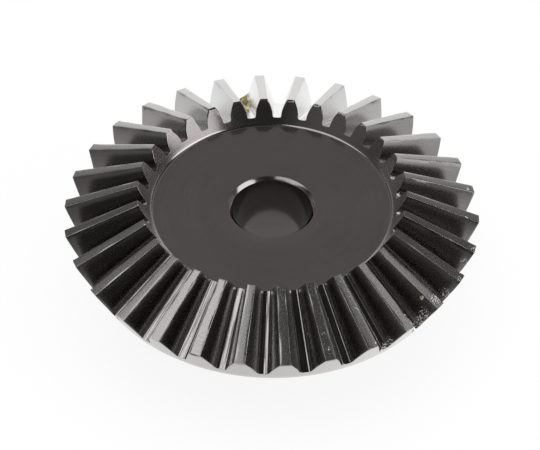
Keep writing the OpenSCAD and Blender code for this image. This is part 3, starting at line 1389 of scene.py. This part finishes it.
    def baked(self, source: bpy.types.Object, name: str) -> bpy.types.Object:
        """Turns an object with modifiers into a plain mesh object and removes the first.

        Args:
            source: the object with modifiers.
            name: the new object's name.

        Returns:
            The new object, in the scene.
        """
        depsgraph = bpy.context.evaluated_depsgraph_get()
        mesh = bpy.data.meshes.new_from_object(source.evaluated_get(depsgraph), depsgraph=depsgraph)
        mesh.name = name
        source.modifiers.clear()
        bpy.data.objects.remove(source)
        plain = bpy.data.objects.new(name, mesh)
        bpy.context.collection.objects.link(plain)
        return plain


@dataclass(frozen=True)
class SoftLamp:
    """A rectangular lamp with an even face, whose level is how bright it looks, where 1 is white."""

    name: str
    place: Point3
    facing: Point3
    size: Point2
    level: float
    in_gloss: bool = True

    def hang(self) -> None:
        """Hangs the lamp in the scene, hidden from the camera."""
        data = bpy.data.lights.new(self.name, "AREA")
        data.shape = "RECTANGLE"
        data.size, data.size_y = self.size
        data.energy = self.level * math.pi * self.size[0] * self.size[1]
        lamp = bpy.data.objects.new(self.name, data)
        lamp.location = self.place
        lamp.rotation_mode = "QUATERNION"
        lamp.rotation_quaternion = Vector(self.facing).to_track_quat("-Z", "Y")
        lamp.visible_camera = False
        lamp.visible_glossy = self.in_gloss
        bpy.context.collection.objects.link(lamp)


DOWN: Point3 = (0.0, 0.0, -1.0)
LEFTWARD: Point3 = (-1.0, 0.0, 0.0)
LAMPS: tuple[SoftLamp, ...] = (
    SoftLamp("left_softbox", (-0.456, -0.25, 0.615), DOWN, size=(0.77, 0.7), level=0.92),
    SoftLamp("right_softbox", (0.4, -0.147, 0.26), LEFTWARD, size=(0.414, 0.518), level=1.75),
    SoftLamp("top_card", (0.37, 0.15, 0.615), DOWN, size=(0.28, 0.26), level=0.38),
    SoftLamp("left_card", (-0.6, 0.31, 0.615), DOWN, size=(0.55, 0.4), level=0.13),
    SoftLamp("fill", (0.0, 0.1, 1.2), DOWN, size=(1.6, 1.6), level=2.0, in_gloss=False),
)


@dataclass
class Studio:
    """A white floor, soft lamps and the camera that looks down on the gear."""

    elevation: float = math.radians(44.59)
    azimuth: float = math.radians(1.734)
    roll: float = math.radians(-0.96)
    distance: float = 337 * MM
    focal_pixels: float = 2252.8
    frame_width: float = 540.0
    aim: Point3 = (0.0, 0.0, 15 * MM)
    aim_pixels: Point2 = (1.46, 5.38)
    sensor: float = 36.0
    clip_start: float = 10 * MM
    floor_size: float = 3.0
    floor_drop: float = 0.02 * MM
    paper_tone: float = 0.92
    shadow_share: float = 0.1
    # Painted shade on the floor in gloss: how dark it gets and where it reaches in front, at the sides and
    # under the gear (the side ones also dim the backdrop's sides).
    front_floor: float = 0.3
    front_reach: Point2 = (-100 * MM, 0.0)
    front_slant: float = 0.6
    side_level: float = 0.3
    side_reach: Point2 = (0.3, 0.5)
    side_start: Point2 = (50 * MM, 110 * MM)
    under_floor: float = 0.36
    under_reach: Point2 = (12 * MM, 20 * MM)
    room_level: float = 0.03
    backdrop_top: Point2 = (0.6, 0.2)
    backdrop_reach: Point2 = (0.1, 0.5)
    ceiling_level: float = 0.22
    ceiling_towards: Point3 = (0.0, 0.74, 0.67)
    ceiling_reach: Point2 = (0.8, 0.99)
    corner_level: float = 0.18
    corner_towards: Point3 = (-0.8, -0.59, 0.1)
    corner_reach: Point2 = (0.6, 0.98)

    def camera(self) -> None:
        """Sets the camera as the photograph was taken."""
        back = Vector((0, -math.cos(self.elevation), math.sin(self.elevation)))
        right = Vector((1, 0, 0))
        up = back.cross(right)
        rolled_right = math.cos(self.roll) * right - math.sin(self.roll) * up
        rolled_up = math.sin(self.roll) * right + math.cos(self.roll) * up
        per_pixel = self.distance / self.focal_pixels
        place = back * self.distance
        place -= right * self.aim_pixels[0] * per_pixel + up * self.aim_pixels[1] * per_pixel
        pose = Matrix((rolled_right, rolled_up, back)).transposed().to_4x4()
        pose.translation = place
        turn = Matrix.Rotation(self.azimuth, 4, "Z")
        data = bpy.data.cameras.new("camera")
        data.sensor_width = self.sensor
        data.lens = self.focal_pixels / self.frame_width * self.sensor
        data.clip_start = self.clip_start
        camera = bpy.data.objects.new("camera", data)
        camera.matrix_world = Matrix.Translation(self.aim) @ turn @ pose
        bpy.context.collection.objects.link(camera)
        bpy.context.scene.camera = camera

    def floor(self) -> None:
        """Lays the white floor with a soft shadow; in gloss it is darkened under the gear, in front and far
        to the sides as painted shade.
        """
        half, low = self.floor_size / 2, -self.floor_drop
        corners = [(-half, -half, low), (half, -half, low), (half, half, low), (-half, half, low)]
        mesh = bpy.data.meshes.new("floor")
        mesh.from_pydata(corners, [], [(0, 1, 2, 3)])
        floor = bpy.data.objects.new("floor", mesh)
        bpy.context.collection.objects.link(floor)
        material = bpy.data.materials.new("white_floor")
        material.use_nodes = True
        material.node_tree.nodes.clear()
        graph = NodeGraph(material.node_tree)
        path = graph.add("ShaderNodeLightPath")
        seen = path.outputs["Is Camera Ray"]
        mirrored = graph.math("MAXIMUM", path.outputs["Is Glossy Ray"], path.outputs["Is Transmission Ray"])
        place = graph.add("ShaderNodeTexCoord").outputs["Object"]
        split = graph.add("ShaderNodeSeparateXYZ", {0: place})
        away = graph.vector_math("LENGTH", {0: place}).outputs["Value"]
        # Painted shadow: the floor's glow in gloss drops under the gear, and drops in front and far to the
        # sides as painted shade.
        shaded = graph.smooth(away, self.under_reach, (self.under_floor, 1.0))
        slanted = graph.scaled(split.outputs["X"], self.front_slant, split.outputs["Y"])
        forward = graph.smooth(slanted, self.front_reach, (self.front_floor, 1.0))
        sideways = graph.math("DIVIDE", graph.math("ABSOLUTE", split.outputs["X"]), away)
        aside = graph.smooth(sideways, self.side_reach)
        far_aside = graph.math("MULTIPLY", aside, graph.smooth(split.outputs["Y"], self.side_start))
        sides = graph.scaled(far_aside, self.side_level - 1, 1.0)
        painted_floor_shade = graph.math("MULTIPLY", graph.math("MULTIPLY", forward, shaded), sides)
        paper = graph.add("ShaderNodeBsdfDiffuse", {"Color": rgba(WHITE, self.paper_tone)})
        white = graph.add("ShaderNodeEmission", {"Strength": graph.math("MAXIMUM", seen, painted_floor_shade)})
        share = graph.scaled(seen, 1 - self.shadow_share, mirrored)
        mixed = graph.add("ShaderNodeMixShader", {0: share, 1: paper.outputs[0], 2: white.outputs[0]})
        output = graph.add("ShaderNodeOutputMaterial")
        graph.feed(output.inputs["Surface"], mixed.outputs[0])
        mesh.materials.append(material)
        floor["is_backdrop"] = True

    def world(self) -> None:
        """Surrounds the gear with a white backdrop and a dim room, lighter above it and at front left."""
        world = bpy.data.worlds.new("studio")
        world.use_nodes = True
        world.node_tree.nodes.clear()
        graph = NodeGraph(world.node_tree)
        direction = graph.add("ShaderNodeTexCoord").outputs["Generated"]
        split = graph.add("ShaderNodeSeparateXYZ", {0: direction})
        low = graph.smooth(split.outputs["Z"], self.backdrop_top)
        behind = graph.smooth(split.outputs["Y"], self.backdrop_reach)
        sideways = graph.math("ABSOLUTE", split.outputs["X"])
        sides = graph.smooth(sideways, self.side_reach, (1.0, self.side_level))
        backdrop = graph.math("MULTIPLY", graph.math("MULTIPLY", low, behind), sides)
        upward = graph.vector_math("DOT_PRODUCT", {0: direction, 1: self.ceiling_towards}).outputs["Value"]
        ceiling = graph.smooth(upward, self.ceiling_reach, (0.0, self.ceiling_level))
        aside = graph.vector_math("DOT_PRODUCT", {0: direction, 1: self.corner_towards}).outputs["Value"]
        corner = graph.smooth(aside, self.corner_reach, (0.0, self.corner_level))
        room = graph.scaled(backdrop, 1 - self.room_level, graph.math("ADD", corner, self.room_level))
        path = graph.add("ShaderNodeLightPath")
        level = graph.math("MAXIMUM", path.outputs["Is Camera Ray"], graph.math("ADD", room, ceiling))
        surround = graph.add("ShaderNodeBackground", {"Strength": level})
        output = graph.add("ShaderNodeOutputWorld")
        graph.feed(output.inputs["Surface"], surround.outputs[0])
        bpy.context.scene.world = world

    def build(self) -> None:
        """Sets up the whole studio."""
        bpy.context.scene.view_settings.view_transform = "Standard"
        self.camera()
        self.floor()
        for lamp in LAMPS:
            lamp.hang()
        self.world()


def write_sizes() -> None:
    boxes = {"cad": CAD_BOX, "visual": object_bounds()}
    {name: [list(corner) for corner in box] for name, box in boxes.items()}


def main() -> None:
    """Builds the studio and the gear and logs each piece."""
    logging.basicConfig(level=logging.INFO, format="%(message)s")
    Studio().build()
    sizes = GearSizes()
    groups = ShaderGroups(sizes)
    materials = {zone: finish.build(groups) for zone, finish in FINISHES.items()}
    gear = ToothRing(sizes).build(materials)
    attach(gear, "root")
    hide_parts("bevel_gear")
    LOG.info("%s: %d faces", gear.name, len(gear.data.polygons))
    write_sizes()


if __name__ == "__main__":
    main()
